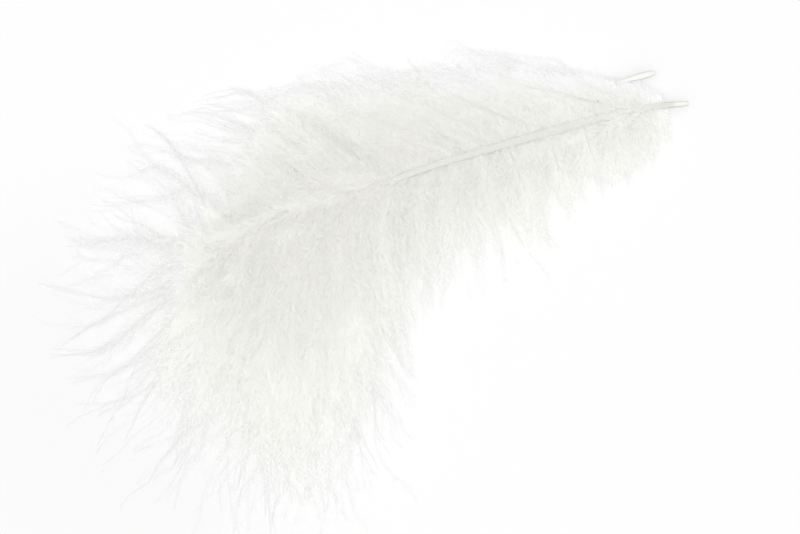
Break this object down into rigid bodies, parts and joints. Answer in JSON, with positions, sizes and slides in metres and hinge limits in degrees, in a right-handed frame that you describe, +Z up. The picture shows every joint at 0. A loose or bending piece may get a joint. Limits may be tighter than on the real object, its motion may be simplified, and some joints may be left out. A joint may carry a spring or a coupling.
{
  "type": "marabou feather",
  "caption": "White marabou feather lying flat: a thin curved shaft, bare at the quill, with soft loose down on both sides that spreads into a wispy fan.",
  "frame": {"origin": "bottom centre of the feather's box, on the surface it lies on", "axes": "+Z up from the surface; +X along the box's long side, towards the bare quill end; +Y towards the side where the down is shorter"},
  "size_m": [0.1086, 0.0834, 0.0115],
  "materials": {
    "down": "soft matte white down",
    "shaft": "satin translucent cream keratin"
  },
  "bodies": {
    "root": {"feather": "down"}
  },
  "joints": []
}
